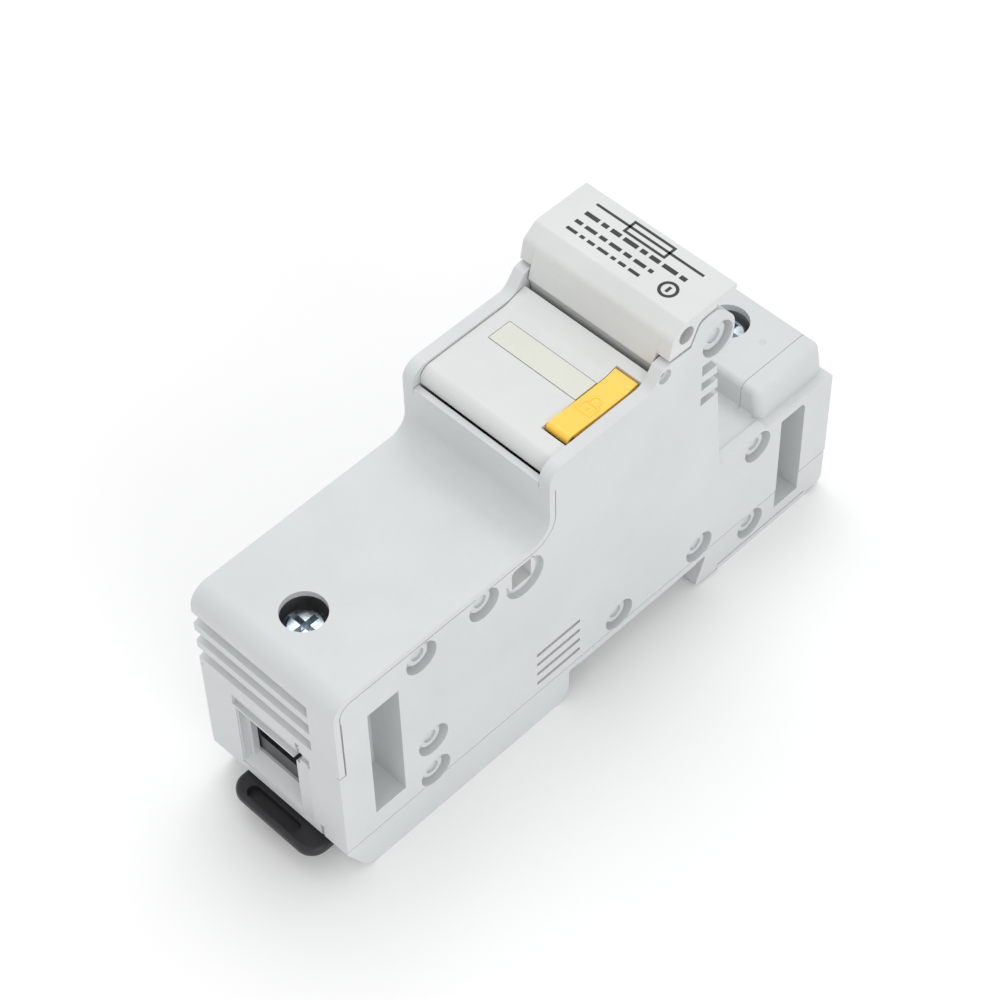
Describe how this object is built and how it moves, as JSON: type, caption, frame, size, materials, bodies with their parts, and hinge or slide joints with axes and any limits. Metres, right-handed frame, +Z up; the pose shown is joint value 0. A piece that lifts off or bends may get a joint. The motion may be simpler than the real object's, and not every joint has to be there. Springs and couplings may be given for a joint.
{
  "type": "cartridge fuse holder",
  "caption": "Rail-mounted single-pole holder for a cylindrical cartridge fuse, with a hinged pull-out carrier, box clamps, a locking tab and a sliding rail clip.",
  "frame": {"origin": "middle of the base: centre of the width, middle of the length with the rail clip's tab, level with the underside of the feet", "axes": "+X across the width towards the side with the thin shell, +Y along the length from the clip end to the hook end, +Z up from the rail towards the handle"},
  "size_m": [0.035, 0.1306, 0.0791],
  "materials": {
    "housing_grey": "fine spark-eroded texture, light grey",
    "carrier_grey": "smooth satin, light grey",
    "label_ivory": "smooth satin, ivory",
    "tab_yellow": "semi-gloss, yellow",
    "clip_black": "satin glass-filled nylon, black",
    "tinned_copper": "tin-plated, dull",
    "silvered_copper": "silver-plated, satin",
    "silver_strip": "bright",
    "spring_steel": "blank spring steel",
    "zinc_steel": "bright zinc plating, blue passivated",
    "dark_steel": "phosphated steel, dull dark grey",
    "fuse_ceramic": "unglazed white ceramic"
  },
  "bodies": {
    "root": {"left_shell": "housing_grey", "right_shell": "housing_grey", "front_terminal_cover": "housing_grey", "rear_terminal_cover": "housing_grey", "case_pins": "housing_grey", "ear_studs": "housing_grey", "front_contact_jaw": "tinned_copper", "rear_contact_jaw": "tinned_copper", "front_jaw_spring": "spring_steel", "rear_jaw_spring": "spring_steel"},
    "carrier": {"carrier_frame": "carrier_grey", "carrier_cover": "carrier_grey", "carrier_handle": "carrier_grey", "label_insert": "label_ivory", "lock_tab_pin": "spring_steel", "pivot_shaft": "carrier_grey", "fuse_clip_right": "carrier_grey", "fuse_clip_left": "carrier_grey", "fuse_body": "fuse_ceramic", "fuse_cap_front": "silvered_copper", "fuse_cap_rear": "silvered_copper", "fuse_element": "silver_strip"},
    "lock_tab": {"lock_tab": "tab_yellow"},
    "rail_clip": {"rail_clip": "clip_black"},
    "front_screw": {"front_terminal_screw": "zinc_steel"},
    "front_cage": {"front_clamp_cage": "dark_steel"},
    "rear_screw": {"rear_terminal_screw": "zinc_steel"},
    "rear_cage": {"rear_clamp_cage": "dark_steel"}
  },
  "joints": [
    {"name": "carrier_swing", "type": "hinge", "parent": "root", "child": "carrier", "pos_m": [0, -0.01655, 0.0462], "axis": [1, 0, 0], "range_deg": [0, 70]},
    {"name": "lock_tab_flip", "type": "hinge", "parent": "carrier", "child": "lock_tab", "pos_m": [0.01175, -0.00175, 0.0668], "axis": [1, 0, 0], "range_deg": [0, 90]},
    {"name": "rail_clip_slide", "type": "slide", "parent": "root", "child": "rail_clip", "axis": [0, -1, 0], "range_m": [0, 0.004], "stiffness_N_per_m": 600, "springref_m": -0.002},
    {"name": "front_screw_turn", "type": "hinge", "parent": "root", "child": "front_screw", "pos_m": [-0.0006, -0.05035, 0.035], "axis": [0, 0, -1], "range_deg": [0, 1440]},
    {"name": "front_cage_lift", "type": "slide", "parent": "root", "child": "front_cage", "axis": [0, 0, 1], "range_m": [0, 0.004]},
    {"name": "rear_screw_turn", "type": "hinge", "parent": "root", "child": "rear_screw", "pos_m": [-0.0018, 0.05705, 0.025], "axis": [0, 0, -1], "range_deg": [0, 1440]},
    {"name": "rear_cage_lift", "type": "slide", "parent": "root", "child": "rear_cage", "axis": [0, 0, 1], "range_m": [0, 0.004]}
  ],
  "couplings": [
    {"joint": "front_screw_turn", "follows": "front_cage_lift", "rad_per_m": 6283.2},
    {"joint": "rear_screw_turn", "follows": "rear_cage_lift", "rad_per_m": 6283.2}
  ]
}
